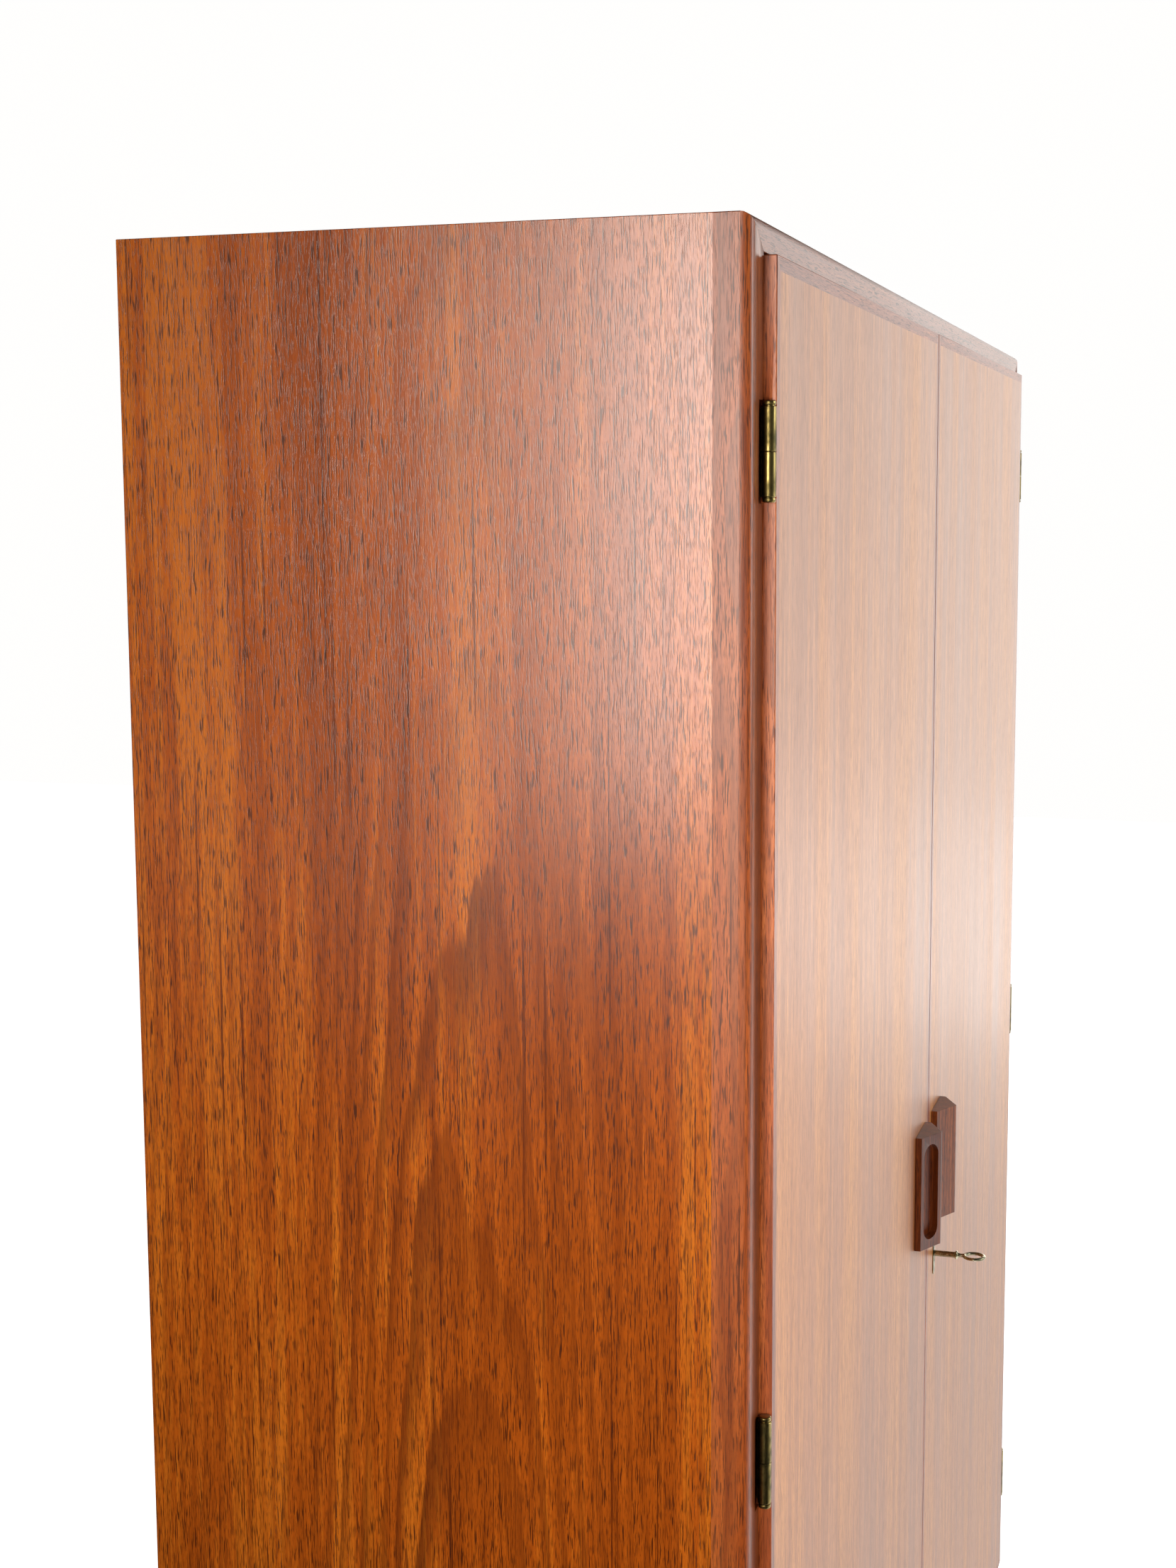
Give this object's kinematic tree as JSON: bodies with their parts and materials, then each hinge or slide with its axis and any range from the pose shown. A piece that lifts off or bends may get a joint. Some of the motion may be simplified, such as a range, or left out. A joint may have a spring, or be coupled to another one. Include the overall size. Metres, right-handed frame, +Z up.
{
  "type": "wardrobe with doors",
  "caption": "Wardrobe in veneered wood with hinged doors, slotted grip handles, a lock and key, hanging space and adjustable shelves.",
  "frame": {"origin": "on the floor, at the middle of the footprint (key included)", "axes": "+Z up, the doors face -Y, +X to the right of someone facing the doors, the back is at +Y"},
  "size_m": [1.493, 0.5116, 1.75],
  "materials": {
    "teak_veneer": "oiled teak veneer, fine open pores",
    "teak_solid": "oiled solid teak, slightly glossy arrises",
    "teak_handle": "oiled solid teak, worn smooth",
    "plywood": "unfinished plywood",
    "aged_brass": "aged, polished where touched",
    "steel": "satin",
    "nickel": "worn nickel plating"
  },
  "bodies": {
    "carcass": {"left_side_board": "teak_veneer", "right_side_board": "teak_veneer", "top_board": "teak_veneer", "bottom_board": "teak_veneer", "back_panel": "plywood", "centre_partition": "teak_veneer", "left_front_lipping": "teak_solid", "right_front_lipping": "teak_solid", "top_front_lipping": "teak_solid", "bottom_front_lipping": "teak_solid", "hat_shelf": "teak_veneer", "hanging_rail": "steel", "left_rail_socket": "aged_brass", "right_rail_socket": "aged_brass", "lower_shelf": "teak_veneer", "upper_shelf": "teak_veneer", "lower_shelf_wire_left": "steel", "lower_shelf_wire_right": "steel", "upper_shelf_wire_left": "steel", "upper_shelf_wire_right": "steel", "left_bearer": "teak_solid", "right_bearer": "teak_solid", "front_left_leg": "teak_solid", "front_right_leg": "teak_solid", "rear_left_leg": "teak_solid", "rear_right_leg": "teak_solid", "left_top_hinge_carcass_leaf": "aged_brass", "left_middle_hinge_carcass_leaf": "aged_brass", "left_bottom_hinge_carcass_leaf": "aged_brass", "right_top_hinge_carcass_leaf": "aged_brass", "right_middle_hinge_carcass_leaf": "aged_brass", "right_bottom_hinge_carcass_leaf": "aged_brass"},
    "left_door": {"left_door_panel": "teak_veneer", "left_door_hinge_lipping": "teak_solid", "left_door_meeting_lipping": "teak_solid", "left_door_top_lipping": "teak_solid", "left_door_bottom_lipping": "teak_solid", "left_handle": "teak_handle", "left_top_hinge_door_leaf": "aged_brass", "left_middle_hinge_door_leaf": "aged_brass", "left_bottom_hinge_door_leaf": "aged_brass", "strike_plate": "aged_brass", "upper_slide_case": "aged_brass", "lower_slide_case": "aged_brass"},
    "right_door": {"right_door_panel": "teak_veneer", "right_door_hinge_lipping": "teak_solid", "right_door_meeting_lipping": "teak_solid", "right_door_top_lipping": "teak_solid", "right_door_bottom_lipping": "teak_solid", "right_handle": "teak_handle", "right_top_hinge_door_leaf": "aged_brass", "right_middle_hinge_door_leaf": "aged_brass", "right_bottom_hinge_door_leaf": "aged_brass", "lock_case": "steel", "escutcheon": "aged_brass"},
    "key": {"key": "nickel"},
    "lock_bolt": {"lock_bolt": "aged_brass"},
    "upper_slide_bolt": {"upper_slide_bolt": "aged_brass"},
    "lower_slide_bolt": {"lower_slide_bolt": "aged_brass"}
  },
  "joints": [
    {"name": "left_door_hinge", "type": "hinge", "parent": "carcass", "child": "left_door", "pos_m": [-0.718, -0.19915, 0.91], "axis": [0, 0, -1], "range_deg": [0, 170]},
    {"name": "right_door_hinge", "type": "hinge", "parent": "carcass", "child": "right_door", "pos_m": [0.718, -0.19915, 0.91], "axis": [0, 0, 1], "range_deg": [0, 170]},
    {"name": "key_turn", "type": "hinge", "parent": "right_door", "child": "key", "pos_m": [0.05, -0.20285, 0.805], "axis": [0, 1, 0], "range_deg": [0, 90]},
    {"name": "lock_bolt_throw", "type": "slide", "parent": "right_door", "child": "lock_bolt", "axis": [-1, 0, 0], "range_m": [0, 0.008]},
    {"name": "upper_slide_bolt_throw", "type": "slide", "parent": "left_door", "child": "upper_slide_bolt", "axis": [0, 0, 1], "range_m": [0, 0.01]},
    {"name": "lower_slide_bolt_throw", "type": "slide", "parent": "left_door", "child": "lower_slide_bolt", "axis": [0, 0, -1], "range_m": [0, 0.01]}
  ],
  "couplings": [
    {"joint": "key_turn", "follows": "lock_bolt_throw", "rad_per_m": 196.3}
  ]
}
